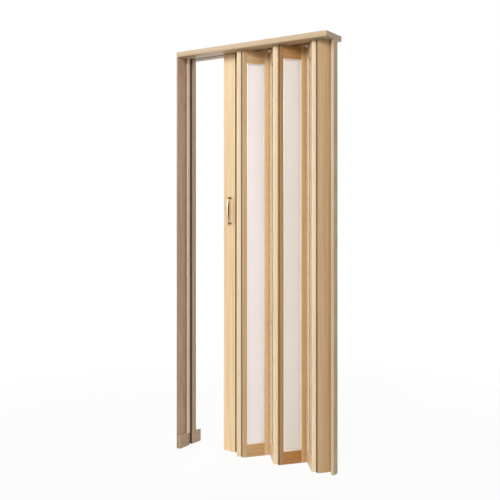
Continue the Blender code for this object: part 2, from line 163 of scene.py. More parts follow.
class Graph:
    """Node graph of one material, or of the world."""

    def __init__(self, owner: bpy.types.Material | bpy.types.World) -> None:
        """Open the graph of a new material or of the world."""
        owner.use_nodes = True
        self.tree = owner.node_tree

    @classmethod
    def on(cls, piece: Object, finish: str) -> "Graph":
        """Make the one material of a piece and open its graph.

        Args:
            piece: The piece.
            finish: Name of its finish.

        Returns:
            The material's graph.
        """
        material = bpy.data.materials.new(f"{piece.name}_{finish}")
        piece.data.materials.clear()
        piece.data.materials.append(material)
        return cls(material)

    def link(self, value: Any, target: bpy.types.NodeSocket) -> None:
        """Link a wire to a socket, or set the socket to a plain value.

        Args:
            value: A wire, a number, a vector or a colour.
            target: The input socket.
        """
        if isinstance(value, Wire):
            self.tree.links.new(value.socket, target)
        elif target.type == "RGBA":
            target.default_value = (*value, 1.0)
        else:
            target.default_value = value

    def node(
        self, kind: str, settings: dict[str, Any], sockets: dict[Any, Any], out: int | str = 0
    ) -> Wire:
        """Add any node.

        Args:
            kind: Type name of the node.
            settings: Properties of the node, set before its sockets.
            sockets: Values or wires by socket name or number.
            out: Name or number of the output that is wanted.

        Returns:
            The wanted output.
        """
        made = self.tree.nodes.new(kind)
        for key, value in settings.items():
            setattr(made, key, value)
        for key, value in sockets.items():
            self.link(value, made.inputs[key])
        return Wire(self, made.outputs[out])

    def object_place(self, turn: float = 0.0, shift: Point = (0.0, 0.0, 0.0)) -> Wire:
        """Give the place on the object, turned about the upright and moved.

        Args:
            turn: Angle of the turn, in radians.
            shift: The move after it.

        Returns:
            The place.
        """
        place = self.node("ShaderNodeTexCoord", {}, {}, out="Object")
        sockets = {"Vector": place, "Location": shift, "Rotation": (0.0, 0.0, turn)}
        return self.node("ShaderNodeMapping", {"vector_type": "POINT"}, sockets)

    def noise(self, place: Wire, speckle: Speckle) -> Wire:
        """Give the value of a noise pattern.

        Args:
            place: Where it is read, as a vector.
            speckle: The pattern.

        Returns:
            Its value, between 0 and 1.
        """
        stretch = {0: place, 1: speckle.stretch}
        sockets = {
            "Vector": self.node("ShaderNodeVectorMath", {"operation": "MULTIPLY"}, stretch),
            "Scale": speckle.scale,
            "Detail": speckle.detail,
            "Distortion": speckle.distortion,
        }
        return self.node("ShaderNodeTexNoise", {}, sockets)

    def patches(self, place: Wire, speckle: Speckle) -> Wire:
        """Give a noise pattern as patches, 0 below its band and 1 above it."""
        return self.noise(place, speckle).ramp(*speckle.band)

    def attribute(self, name: str) -> Wire:
        """Give a value that a mesh keeps on its faces."""
        return self.node("ShaderNodeAttribute", {"attribute_name": name}, {}, out="Fac")

    def mix(self, factor: Any, first: Any, second: Any) -> Wire:
        """Mix two colours."""
        settings = {"data_type": "RGBA", "clamp_factor": True}
        return self.node("ShaderNodeMix", settings, {0: factor, 6: first, 7: second}, out=2)

    def bump(self, height: Wire, relief: Pair) -> Wire:
        """Turn a height into a normal, by the strength and the depth of a relief."""
        sockets = {"Height": height, "Strength": relief[0], "Distance": relief[1]}
        return self.node("ShaderNodeBump", {}, sockets, out="Normal")

    def seen(self) -> Wire:
        """Tell where a ray comes from the camera, a gloss or a pane.

        Returns:
            1 for such a ray, and 0 for the others.
        """
        kinds = ("Camera", "Glossy", "Transmission")
        rays = [self.node("ShaderNodeLightPath", {}, {}, out=f"Is {kind} Ray") for kind in kinds]
        settings = {"operation": "ADD", "use_clamp": True}
        return self.node("ShaderNodeMath", settings, {0: rays[0], 1: rays[1] + rays[2]})

    def finish(self, **sockets: Any) -> None:
        """Set sockets of the shader.

        Args:
            **sockets: Values or wires by socket name, with underscores for its spaces.
        """
        shader = self.tree.nodes["Principled BSDF"]
        for key, value in sockets.items():
            self.link(value, shader.inputs[key.replace("_", " ")])


# Face attribute that paints light, above 0, or shade, below 0, on board faces.
EDGE_SHADING_PAINT = "painted_edge_shading"
BARREL = "barrel"
SHADE_DEEPENING = (0.33, 0.49, 0.66)
PALEST = 0.96


def with_painted_shade(colour: Colour, depth: float) -> Colour:
    """Paint shade into a timber colour towards brown, or light with a negative depth."""
    shares = (1.0 - share * depth for share in SHADE_DEEPENING)
    return tuple(min(part * share, PALEST) for part, share in zip(colour, shares))


@dataclass(frozen=True)
class Cut:
    """How a board was cut from its log.

    The seed makes its pattern its own, the turn is the angle of its panel about the
    upright, in radians, and the depth paints shade into its tone or, below 0, light.
    """

    seed: float
    grain: Grain = Grain.UPRIGHT
    turn: float = 0.0
    depth: float = 0.0


@dataclass(frozen=True)
class WoodFinish:
    """Satin lacquered straight-grained timber, with light and shade painted on some faces.

    A face's edge tone paints it paler, up to 1, as painted light, or deeper, down to -1,
    as painted shade. The patterns run along the grain, across it and into the board.
    """

    name: str
    early: Colour
    late: Colour
    tint: Colour
    seed_shift: Point = (0.37, 0.0, 0.53)
    heart_depth: float = 70 * MM
    heart_tilt: float = 0.018
    heart_wander: float = 50 * MM
    drift: Speckle = Speckle(stretch=(1.1, 7.0, 7.0))
    ring_pitch: float = 5.5 * MM
    ring_sharpness: float = 3.0
    ring_share: float = 0.42
    streaks: Speckle = Speckle(
        stretch=(1.6, 90.0, 90.0), detail=4.0, distortion=0.3, band=(0.32, 0.70)
    )
    streak_share: float = 0.46
    fibres: Speckle = Speckle(stretch=(22.0, 900.0, 900.0), band=(0.60, 0.72))
    pore_share: float = 0.28
    clouds: Speckle = Speckle(stretch=(2.0, 11.0, 11.0), band=(0.40, 0.75))
    cloud_share: float = 0.30
    painted_edge_light: Colour = (0.97, 0.83, 0.58)
    painted_edge_shade: Colour = (0.105, 0.050, 0.018)
    edge_grain: float = 0.35
    roughness: float = 0.40
    fibre_roughness: float = 0.12
    late_roughness: float = 0.05
    fibre_relief: float = 0.6
    late_relief: float = 0.4
    relief: Pair = (0.35, 0.12 * MM)
    lacquer: float = 0.15
    lacquer_roughness: float = 0.25

    def late_wood(self, place: Wire, seed: float) -> Wire:
        """Give the late wood, in rings round a heart that wanders behind the board.

        Args:
            place: Place in the board.
            seed: The board's own number.

        Returns:
            The share of late wood, from 0 to 1.
        """
        along, across, deep = place.parts()
        wander = place.graph.noise(place, self.drift) - (1 / 2 + math.sin(seed))
        heart = across + along * self.heart_tilt + wander * self.heart_wander
        radius = heart.length_with(deep + self.heart_depth)
        return (radius * (math.tau / self.ring_pitch)).wave() ** self.ring_sharpness

    def dress(self, piece: Object, cut: Cut) -> None:
        """Give a board this finish.

        Args:
            piece: The board.
            cut: How it was cut.
        """
        graph = Graph.on(piece, self.name)
        shift = tuple(cut.seed * part for part in self.seed_shift)
        width, deep, height = graph.object_place(-cut.turn, shift).parts()
        along, across = (height, width) if cut.grain is Grain.UPRIGHT else (width, height)
        place = graph.node("ShaderNodeCombineXYZ", {}, {"X": along, "Y": across, "Z": deep})
        late_wood = self.late_wood(place, cut.seed)
        fibres = graph.noise(place, self.fibres)
        tone = late_wood * self.ring_share
        tone = tone + graph.patches(place, self.streaks) * self.streak_share
        tone = tone + fibres.ramp(*self.fibres.band) * self.pore_share
        colours = (self.early, self.late, self.tint)
        # The cut's depth paints shade, or light below 0, into all three colours.
        early, late, tint = (with_painted_shade(colour, cut.depth) for colour in colours)
        colour = graph.mix(tone, early, late)
        colour = graph.mix(graph.patches(place, self.clouds) * self.cloud_share, colour, tint)
        # Painted light and painted shade on the faces that the mesh marks, fainter on darker
        # grain.
        edge = graph.attribute(EDGE_SHADING_PAINT)
        edge_paint_strength = 1.0 - tone * self.edge_grain
        colour = graph.mix(edge.ramp(0.0, 1.0) * edge_paint_strength, colour, self.painted_edge_light)
        colour = graph.mix(edge.ramp(0.0, -1.0) * edge_paint_strength, colour, self.painted_edge_shade)
        rough = fibres.about(self.roughness, self.fibre_roughness)
        grain_height = fibres * self.fibre_relief + late_wood * self.late_relief
        graph.finish(
            Base_Color=colour,
            Roughness=rough + late_wood * self.late_roughness,
            Normal=graph.bump(grain_height, self.relief),
            Coat_Weight=self.lacquer,
            Coat_Roughness=self.lacquer_roughness,
        )


@dataclass(frozen=True)
class GlassFinish:
    """Frosted pane, which lets soft light through."""

    name: str
    colour: Colour
    shade: Colour
    mist: Speckle = Speckle(stretch=(9.0, 1.0, 1.4), band=(0.35, 0.70))
    grit: Speckle = Speckle(scale=950.0)
    roughness: float = 0.42
    grit_roughness: float = 0.16
    relief: Pair = (0.25, 0.08 * MM)
    clear_share: float = 0.74
    refraction: float = 1.46

    def dress(self, piece: Object, turn: float) -> None:
        """Give a pane this finish.

        Args:
            piece: The pane.
            turn: Angle of its panel about the upright, in radians.
        """
        graph = Graph.on(piece, self.name)
        place = graph.object_place(-turn)
        grit = graph.noise(place, self.grit)
        graph.finish(
            Base_Color=graph.mix(graph.patches(place, self.mist), self.colour, self.shade),
            Roughness=grit.about(self.roughness, self.grit_roughness),
            Normal=graph.bump(grit, self.relief),
            Transmission_Weight=self.clear_share,
            IOR=self.refraction,
        )


@dataclass(frozen=True)
class WearAndShade:
    """Rubbed part of a pull, darker away from its middle as patina and as painted shade.

    The reach and rise are half its width and height. Each band runs from where the
    dark starts to where it is full, in shares of these, squared for the ends.
    """

    middle: float
    reach: float
    height: float
    rise: float
    right_band: Pair = (0.34, 0.56)
    left_band: Pair = (-0.40, -0.66)
    left_share: float = 0.72
    end_band: Pair = (0.72, 0.95)
    end_share: float = 0.20
    dark_share: float = 0.95
    patina_share: float = 0.5

    def darkness(self, place: Wire) -> Wire:
        """Give how dark the metal is away from the rubbed part, as patina and painted shade.

        Args:
            place: Place on the pull.

        Returns:
            The darkness, 0 where it is rubbed bright.
        """
        width, _, height = place.parts()
        aside = (width - self.middle) * (1 / self.reach)
        apart = (height - self.height) * (1 / self.rise)
        # Patina on both sides, with painted shade making the right side darker and sooner.
        sides = aside.ramp(*self.right_band) + aside.ramp(*self.left_band) * self.left_share
        ends = (apart * apart).ramp(*self.end_band) * self.end_share
        return (sides + ends) * self.dark_share


@dataclass(frozen=True)
class MetalFinish:
    """Rolled or cast metal with a patina, which hands may have rubbed away."""

    name: str
    bright: Colour
    dark: Colour
    roughness: float
    dark_share: float
    blotches: Speckle = Speckle(scale=160.0, detail=3.0, band=(0.40, 0.70))
    scratches: Speckle = Speckle(scale=700.0, stretch=(1.0, 1.0, 0.12))
    scratch_roughness: float = 0.10
    patina_roughness: float = 0.25
    relief: Pair = (0.12, 0.05 * MM)

    def dress(self, piece: Object, wear_and_shade: WearAndShade | None = None) -> None:
        """Give a metal piece this finish.

        Args:
            piece: The piece.
            wear_and_shade: Where hands have rubbed it bright and where shade is painted on it, if
                anywhere.
        """
        graph = Graph.on(piece, self.name)
        place = graph.object_place()
        scratches = graph.noise(place, self.scratches)
        patina = graph.patches(place, self.blotches) * self.dark_share
        if wear_and_shade is not None:
            patina = patina * wear_and_shade.patina_share + wear_and_shade.darkness(place)
        rough = scratches.about(self.roughness, self.scratch_roughness)
        graph.finish(
            Base_Color=graph.mix(patina, self.bright, self.dark),
            Roughness=rough + patina * self.patina_roughness,
            Metallic=1.0,
            Normal=graph.bump(scratches, self.relief),
        )


@dataclass(frozen=True)
class MouldedFinish:
    """Moulded plastic or paint with a faint even texture."""

    name: str
    colour: Colour
    shade: Colour
    barrel: Colour = (0.0, 0.0, 0.0)
    shades: Speckle = Speckle(scale=60.0, detail=3.0, band=(0.35, 0.70))
    grit: Speckle = Speckle(scale=420.0, detail=3.0)
    roughness: float = 0.42
    grit_roughness: float = 0.12
    relief: Pair = (0.2, 0.06 * MM)
    lustre: float = 0.0

    def dress(self, piece: Object) -> None:
        """Give a moulded or painted piece this finish, with its barrels in their own colour.

        Args:
            piece: The piece.
        """
        graph = Graph.on(piece, self.name)
        place = graph.object_place()
        grit = graph.noise(place, self.grit)
        colour = graph.mix(graph.patches(place, self.shades), self.colour, self.shade)
        graph.finish(
            Base_Color=graph.mix(graph.attribute(BARREL), colour, self.barrel),
            Roughness=grit.about(self.roughness, self.grit_roughness),
            Normal=graph.bump(grit, self.relief),
            Metallic=self.lustre,
        )


DOOR_WOOD = WoodFinish(
    "door_wood", early=(0.84, 0.625, 0.370), late=(0.61, 0.385, 0.180), tint=(0.78, 0.51, 0.28)
)
HEAD_WOOD = WoodFinish(
    "frame_wood", early=(0.665, 0.505, 0.320), late=(0.50, 0.335, 0.180), tint=(0.64, 0.43, 0.28)
)
JAMB_WOOD = WoodFinish(
    "jamb_wood", early=(0.68, 0.475, 0.310), late=(0.47, 0.300, 0.170), tint=(0.60, 0.39, 0.25)
)
FROSTED = GlassFinish("frosted_glass", (0.945, 0.885, 0.850), (0.925, 0.860, 0.820))
# A copy of the frosted glass, darker and warmer as painted shade.
FROSTED_SHADED = GlassFinish("frosted_glass", (0.850, 0.785, 0.710), (0.820, 0.755, 0.675))
BEAD = MouldedFinish(
    "glazing_bead", (0.99, 0.955, 0.895), (0.98, 0.94, 0.87), roughness=0.34, lustre=0.6
)
# A copy of the bead, darker and tan as painted shade.
BEAD_SHADED = MouldedFinish("glazing_bead", (0.86, 0.67, 0.48), (0.80, 0.61, 0.42))
NYLON = MouldedFinish("nylon", (0.82, 0.81, 0.77), (0.74, 0.73, 0.69), roughness=0.48)
OLD_BRASS = MetalFinish(
    "old_brass", (0.74, 0.62, 0.46), (0.150, 0.075, 0.033), roughness=0.56, dark_share=0.30
)
ALUMINIUM = MetalFinish(
    "aluminium", (0.34, 0.235, 0.150), (0.22, 0.145, 0.090), roughness=0.40, dark_share=0.45
)
PALE_PAINT, PALE_SHADE = (0.88, 0.71, 0.48), (0.82, 0.64, 0.41)
# Dark brown painted shade for the hinge leaves in the notches and gaps.
PAINTED_SHADE, PAINTED_SHADE_MOTTLE = (0.11, 0.062, 0.028), (0.09, 0.05, 0.022)
RIDGE_HINGE = MouldedFinish("hinge_strip", PALE_PAINT, PALE_SHADE, barrel=PALE_PAINT)
RIDGE_HINGE_SHADED = MouldedFinish("hinge_strip", PAINTED_SHADE, PAINTED_SHADE_MOTTLE, barrel=PALE_PAINT)
VALLEY_HINGE = MouldedFinish(
    "hinge_strip", (0.66, 0.45, 0.24), (0.60, 0.40, 0.21), barrel=(0.56, 0.36, 0.18)
)
EDGE_HINGE_SHADED = MouldedFinish("hinge_strip", PAINTED_SHADE, PAINTED_SHADE_MOTTLE, barrel=(0.07, 0.04, 0.02))
# Finishes of the pin leaf and the bored leaf of each hinge, from the wall; the dark
# ones are painted shade.
HINGE_FINISHES = (
    (EDGE_HINGE_SHADED,) * 2,
    (RIDGE_HINGE_SHADED, RIDGE_HINGE),
    (VALLEY_HINGE,) * 2,
    (RIDGE_HINGE,) * 2,
    (VALLEY_HINGE,) * 2,
    (RIDGE_HINGE_SHADED, RIDGE_HINGE),
    (EDGE_HINGE_SHADED,) * 2,
)


def finish_mesh(name: str, builder: BMesh, smooth_angle: float = 30.0) -> Object:
    """Turn a bmesh into an object at the origin.

    Args:
        name: Name of the object.
        builder: The mesh, which is used up.
        smooth_angle: Edges sharper than this stay sharp, in degrees.

    Returns:
        The new object.
    """
    builder.normal_update()
    bmesh.ops.recalc_face_normals(builder, faces=builder.faces)
    mesh = bpy.data.meshes.new(name)
    builder.to_mesh(mesh)
    builder.free()
    mesh.shade_smooth()
    mesh.set_sharp_from_angle(angle=math.radians(smooth_angle))
    piece = bpy.data.objects.new(name, mesh)
    bpy.context.collection.objects.link(piece)
    LOG.info("%s made", name)
    return piece


def body_of(node: str) -> str:
    """Name the body that a node belongs to."""
    bodies = FRAME["record"]["behaviour"]["bodies"]
    return next(body for body, nodes in bodies.items() if node in nodes)


def verts_of(geometry: Iterable[Any]) -> list[BMVert]:
    """Pick the vertices out of mixed geometry."""
    return [part for part in geometry if isinstance(part, BMVert)]


def sweep(builder: BMesh, sides: int, stations: Sequence[Matrix]) -> None:
    """Skin a closed form through unit circles that each have a place and a size.

    Args:
        builder: Mesh that takes the form.
        sides: Sides of each ring.
        stations: One matrix per ring, which maps the unit circle to it.
    """
    verts = bmesh.ops.create_circle(builder, cap_ends=False, segments=sides, radius=1.0)["verts"]
    bmesh.ops.transform(builder, matrix=stations[0], verts=verts)
    first = edges = list({edge for vert in verts for edge in vert.link_edges})
    for before, after in zip(stations, stations[1:]):
        grown = bmesh.ops.extrude_edge_only(builder, edges=edges)["geom"]
        ring = set(verts_of(grown))
        bmesh.ops.transform(builder, matrix=after @ before.inverted(), verts=list(ring))
        lines = (part for part in grown if isinstance(part, BMEdge))
        edges = [edge for edge in lines if set(edge.verts) <= ring]
    for rim in (first, edges):
        bmesh.ops.edgeloop_fill(builder, edges=rim)


def add_ball(builder: BMesh, place: Point, radii: Point, sides: int, rings: int) -> None:
    """Add a ball or a flattened or drawn-out one.

    Args:
        builder: Mesh that takes the ball.
        place: Its middle.
        radii: Its radius on each axis.
        sides: Faces around it.
        rings: Faces from pole to pole.
    """
    made = bmesh.ops.create_uvsphere(builder, u_segments=sides, v_segments=rings, radius=1.0)
    shape = Matrix.Translation(place) @ Matrix.Diagonal((*radii, 1.0))
    bmesh.ops.transform(builder, matrix=shape, verts=made["verts"])


@dataclass(frozen=True)
class PaintedEdgeShading:
    """Painted light or shade on a board's faces that look one way, or on an outer band of them.

    The band has a width, and lies at the end of the board that its way points to.
    """

    facing: Point
    tone: float
    band_way: Point | None = None
    band_width: float = 0.0


@dataclass(frozen=True)
class Softener:
    """Copies a node of the model and rounds its edges as a maker's plane would."""

    radius: float = 0.9 * MM
    segments: int = 2
    shortest: float = 9 * MM
    fold: float = math.radians(40)
    flatness: float = math.radians(1)
    weld: float = 0.02 * MM
    edge_start: float = 0.45
    edge_blend: float = 0.35

    def soften(self, node: str, name: str, painted_shading: Sequence[PaintedEdgeShading] = ()) -> Object:
        """Make a softened copy of a node that stands for it.

        Args:
            node: Name of the node.
            name: Name of the new piece.
            painted_shading: Painted light and shade on its faces, which add up where they meet.

        Returns:
            The new piece.
        """
        builder = bmesh.new()
        builder.from_mesh(bpy.data.objects[node].data)
        bmesh.ops.remove_doubles(builder, verts=builder.verts, dist=self.weld)
        bmesh.ops.dissolve_limit(
            builder,
            angle_limit=self.flatness,
            verts=builder.verts,
            edges=builder.edges,
            use_dissolve_boundaries=False,
        )
        builder.normal_update()
        edges = [edge for edge in builder.edges if edge.calc_length() > self.shortest]
        edges = [edge for edge in edges if edge.is_manifold and edge.calc_face_angle() > self.fold]
        bmesh.ops.bevel(
            builder,
            geom=edges,
            offset=self.radius,
            offset_type="OFFSET",
            segments=self.segments,
            profile=0.5,
            affect="EDGES",
            material=-1,
            clamp_overlap=True,
        )
        builder.faces.layers.float.new(EDGE_SHADING_PAINT)
        for tone in painted_shading:
            self.paint_shading_on_faces(builder, tone)
        piece = finish_mesh(name, builder)
        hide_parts(node)
        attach(piece, body_of(node))
        return piece

    def paint_shading_on_faces(self, builder: BMesh, tone: PaintedEdgeShading) -> None:
        """Paint light or shade on the faces that it is for, cutting off its band where it has one.

        Args:
            builder: The board's mesh.
            tone: The tone.
        """
        facing = Vector(tone.facing)
        way = Vector(tone.band_way or tone.facing)
        start = -math.inf
        if tone.band_way:
            start = max(vert.co.dot(way) for vert in builder.verts) - tone.band_width
            whole = [*builder.verts, *builder.edges, *builder.faces]
            bmesh.ops.bisect_plane(builder, geom=whole, plane_co=way * start, plane_no=way)
        builder.normal_update()
        layer = builder.faces.layers.float[EDGE_SHADING_PAINT]
        for face in builder.faces:
            if face.calc_center_median().dot(way) > start:
                share = (face.normal.dot(facing) - self.edge_start) / self.edge_blend
                face[layer] += tone.tone * min(max(share, 0.0), 1.0)


@dataclass(frozen=True)
class Board:
    """One board: its node, its edges, its timber and how it was cut."""

    node: str
    name: str
    softener: Softener
    wood: WoodFinish
    cut: Cut
    painted_shading: Sequence[PaintedEdgeShading] = ()

    def build(self) -> Object:
        """Soften and dress the board.

        Returns:
            The new piece.
        """
        piece = self.softener.soften(self.node, self.name, self.painted_shading)
        self.wood.dress(piece, self.cut)
        return piece


@dataclass(frozen=True)
class DoorFrame:
    """Head, strike jamb, battens, wall post, skirting and track around the door."""

    softener: Softener = Softener(radius=1.2 * MM, segments=3)
    moulding: Softener = Softener(radius=2.2 * MM, segments=3)
    stop_highlight_width: float = 4.5 * MM

    def build(self) -> None:
        """Dress the frame."""
        # The jamb's front face is darkened, the stops' front faces carry painted shade, their
        # right faces painted light, and the front stop has a band of painted highlight at its end.
        tip_highlight = PaintedEdgeShading(FRONTWARD, 1.58, RIGHTWARD, self.stop_highlight_width)
        uprights = {
            "left_jamb": (PaintedEdgeShading(FRONTWARD, -0.60),),
            "front_stop": (PaintedEdgeShading(FRONTWARD, -0.58), PaintedEdgeShading(RIGHTWARD, 1.0), tip_highlight),
            "rear_stop": (PaintedEdgeShading(FRONTWARD, -0.70), PaintedEdgeShading(RIGHTWARD, 0.35)),
        }
        for seed, (node, painted_shading) in zip((1.7, 2.7, 3.7), uprights.items()):
            Board(node, f"{node}_board", self.softener, JAMB_WOOD, Cut(seed), painted_shading).build()
        # The skirting's depth paints it paler with painted light, its tone paints shade on its
        # front end, and its upward faces get a painted highlight.
        skirting = {"front_skirting": (9.3, -0.12, -0.45), "rear_skirting": (10.3, -0.27, -0.90)}
        for node, (seed, depth, tone) in skirting.items():
            cut = Cut(seed, Grain.LEVEL, math.pi / 2, depth)
            painted_shading = (PaintedEdgeShading(FRONTWARD, tone), PaintedEdgeShading(UPWARD, 0.9))
            Board(node, f"{node}_board", self.moulding, JAMB_WOOD, cut, painted_shading).build()
        Board("wall_post", "wall_post_board", self.softener, HEAD_WOOD, Cut(4.7)).build()
        cut = Cut(5.1, Grain.LEVEL)
        head = Board("head_board", "head_rail", self.softener, HEAD_WOOD, cut).build()
        ALUMINIUM.dress(bpy.data.objects["track"])


# Painted shade on boards that the light reaches less, and below 0 painted light
# on boards that it reaches more.
BOARD_SHADE_DEPTH = {
    "lead_post": -0.20,
    "panel_6_board": -0.10,
    "panel_5_left_stile": 0.26,
    "panel_5_top_rail": 0.48,
    "panel_5_bottom_rail": 0.72,
    "panel_3_left_stile": 0.92,
    "panel_3_right_stile": 0.54,
    "panel_3_top_rail": 1.10,
    "panel_3_bottom_rail": 1.28,
    "panel_1_board": 0.36,
}
PANEL_SEED = 3.1
PART_SEED = {"right_stile": 0.7, "top_rail": 1.9, "bottom_rail": 2.7}
SHADOW_RIM_BOARD = "panel_3_left_stile"
# Panels whose panes and beads take the copies darkened as painted shade.
SHADED_PANES = (2, 3, 4)
SHADED_BEADS = (2, 4)


@dataclass(frozen=True)
class FoldingPanel:
    """One panel of the chain, which is glazed or, at either end, plain.

    Even panels have pale outer edges, and odd panels deep ones, as the light falls.
    """

    number: int
    painted_light_tone: float = 0.9
    painted_shade_tone: float = -0.78
    shadow_rim_tone: float = -0.90
    shadow_rim_width: float = 4.5 * MM
    softener: Softener = Softener()
    beading: Softener = Softener(radius=1.6 * MM, segments=3)
    glazing: Softener = Softener(radius=0.5 * MM)

    @property
    def name(self) -> str:
        """Name of the panel's body."""
        return f"panel_{self.number}"

    @property
    def turn(self) -> float:
        """Angle of the panel's way about the upright."""
        return math.pi + (REST_FOLD if self.number % 2 else -REST_FOLD)

    @property
    def way(self) -> Vector:
        """Direction along the panel, from the wall towards the lead post."""
        return Vector((math.cos(self.turn), math.sin(self.turn), 0.0))

    def build_board(self, part: str, painted_shading: dict[Point, float]) -> None:
        """Build one board.

        Args:
            part: Name of its node, after the panel's.
            painted_shading: Painted light and shade on its edges, by the way that they face.
        """
        node = f"{self.name}_{part}"
        name = f"{self.name}_plank" if part == "board" else f"{node}_board"
        edges = [PaintedEdgeShading(facing, tone) for facing, tone in painted_shading.items()]
        # A narrow painted shadow runs down the front of this stile, at its outer edge.
        if node == SHADOW_RIM_BOARD:
            front = (-self.way.y, self.way.x, 0.0)
            edges.append(PaintedEdgeShading(front, self.shadow_rim_tone, tuple(self.way), self.shadow_rim_width))
        seed = PANEL_SEED * self.number + PART_SEED.get(part, 0.0)
        grain = Grain.LEVEL if part.endswith("rail") else Grain.UPRIGHT
        cut = Cut(seed, grain, self.turn, BOARD_SHADE_DEPTH.get(node, 0.0))
        Board(node, name, self.softener, DOOR_WOOD, cut, edges).build()

    def build(self) -> None:
        """Dress the panel."""
        # Outer edges get painted shade on odd panels and painted light on even ones; inner edges
        # and rails get painted light.
        outer = self.painted_shade_tone if self.number % 2 else self.painted_light_tone
        left, right = tuple(self.way), tuple(-self.way)
        if self.number in (1, PANEL_COUNT):
            self.build_board("board", {left: outer, right: outer})
            return
        self.build_board("left_stile", {left: outer, right: self.painted_light_tone})
        self.build_board("right_stile", {right: outer, left: self.painted_light_tone})
        for rail in ("top_rail", "bottom_rail"):
            self.build_board(rail, {UPWARD: self.painted_light_tone, DOWNWARD: self.painted_light_tone})
        bead = self.beading.soften(f"{self.name}_gasket", f"{self.name}_bead")
        (BEAD_SHADED if self.number in SHADED_BEADS else BEAD).dress(bead)
        pane = self.glazing.soften(f"{self.name}_glass", f"{self.name}_pane")
        (FROSTED_SHADED if self.number in SHADED_PANES else FROSTED).dress(pane, self.turn)
        NYLON.dress(bpy.data.objects[f"{self.name}_glider"])


@dataclass(frozen=True)
class BowPull:
    """Turned feet and a bowed, swelling grip, cast in one."""

    node: str
    side: Side
    projection: float = 28 * MM
    centres: float = 128 * MM
    grip_half_width: float = 9.9 * MM
    grip_half_thick: float = 3.1 * MM
    grip_end_share: float = 0.34
    grip_root: float = 11 * MM
    grip_stations: int = 33
    grip_sides: int = 28
    base_radius: float = 7.1 * MM
    base_bead: float = 0.75 * MM
    step_radius: float = 6.106 * MM
    step_height: float = 2.4 * MM
    neck_radius: float = 4.2 * MM
    neck_foot: float = 3.45 * MM
    waist_radius: float = 3.78 * MM
    collar_radius: float = 5.6 * MM
    collar_bead: float = 0.6 * MM
    ball_radius: float = 6.8 * MM
    ball_steps: int = 12
    foot_steps: int = 40
    weld: float = 0.01 * MM
    smooth_angle: float = 42.0

    def build(self) -> None:
        """Model the pull over its node."""
        low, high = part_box(self.node)
        middle = (low.x + high.x) / 2
        height = (low.z + high.z) / 2
        outer = low.y if self.side is Side.FRONT else high.y
        seat = outer - self.side.value * self.projection
        builder = bmesh.new()
        for end in (-1 / 2, 1 / 2):
            self.add_foot(builder, (middle, seat, height + end * self.centres))
        sweep(builder, self.grip_sides, list(self.grip_rings(middle, seat, height)))
        pull = finish_mesh(f"{self.node}_casting", builder, self.smooth_angle)
        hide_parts(self.node)
        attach(pull, "lead")
        # The grip darkens away from its middle as patina and as painted shade.
        OLD_BRASS.dress(pull, WearAndShade(middle, self.grip_half_width, height, self.centres / 2))

    @staticmethod
    def bead(radius: float, height: float, half: float) -> list[Pair]:
        """Give one round bead of a turned foot.

        Args:
            radius: Radius that it reaches.
            height: Height of its middle.
            half: Half its height.

        Returns:
            Radii and heights from its lower to its upper end.
        """
        turns = [math.radians(turn) for turn in range(-90, 91, 45)]
        inner = radius - half
        return [(inner + half * math.cos(turn), height + half * math.sin(turn)) for turn in turns]

    def foot_profile(self) -> list[Pair]:
        """Give the outline of a turned foot.

        Returns:
            Radii and heights from the middle of its seat to the top of its ball.
        """
        ball = self.projection - self.ball_radius - self.grip_half_thick
        profile = [(0.0, 0.0), (self.base_radius, 0.0)]
        profile += self.bead(self.base_radius, self.base_bead, self.base_bead)
        profile += self.bead(self.step_radius, self.step_height, self.base_bead)
        profile += [(self.neck_radius, self.neck_foot), (self.waist_radius, ball / 2)]
        profile += self.bead(self.collar_radius, ball - self.ball_radius, self.collar_bead)
        widest = math.pi - math.asin(self.neck_radius / self.ball_radius)
        for step in range(self.ball_steps):
            angle = widest * (1 - step / self.ball_steps)
            reach = self.ball_radius * math.sin(angle)
            profile.append((reach, ball + self.ball_radius * math.cos(angle)))
        return [*profile, (0.0, ball + self.ball_radius)]

    def add_foot(self, builder: BMesh, place: Point) -> None:
        """Spin one turned foot and stand it on the post.

        Args:
            builder: Mesh that takes the foot.
            place: Middle of the foot's seat.
        """
        before = set(builder.verts)
        rim = [builder.verts.new((radius, 0.0, out)) for radius, out in self.foot_profile()]
        spine = [builder.edges.new(pair) for pair in zip(rim, rim[1:])]
        bmesh.ops.spin(
            builder,
            geom=rim + spine,
            cent=(0, 0, 0),
            axis=(0, 0, 1),
            angle=math.tau,
            steps=self.foot_steps,
            use_merge=True,
        )
        made = [vert for vert in builder.verts if vert not in before]
        stand = Matrix.Translation(place) @ Matrix.Rotation(-self.side.value * math.pi / 2, 4, "X")
        bmesh.ops.transform(builder, matrix=stand, verts=made)
        bmesh.ops.remove_doubles(builder, verts=made, dist=self.weld)

    def grip_rings(self, middle: float, seat: float, height: float) -> Iterable[Matrix]:
        """Give the rings of the grip from its lower to its upper end.

        Args:
            middle: Place of the grip on X.
            seat: Place of the post's face on Y.
            height: Height of the grip's middle.

        Returns:
            One matrix per ring.
        """
        rise = self.projection - self.grip_half_thick - self.grip_root
        for station in range(self.grip_stations):
            share = station / (self.grip_stations - 1)
            swell = math.sin(math.pi * share)
            out = self.grip_root + rise * swell ** (1 / 2)
            width_share = self.grip_end_share + (1 - self.grip_end_share) * swell
            place = (middle, seat + self.side.value * out, height + self.centres * (share - 1 / 2))
            size = (self.grip_half_width * width_share, self.grip_half_thick, 1.0, 1.0)
            yield Matrix.Translation(place) @ Matrix.Diagonal(size)


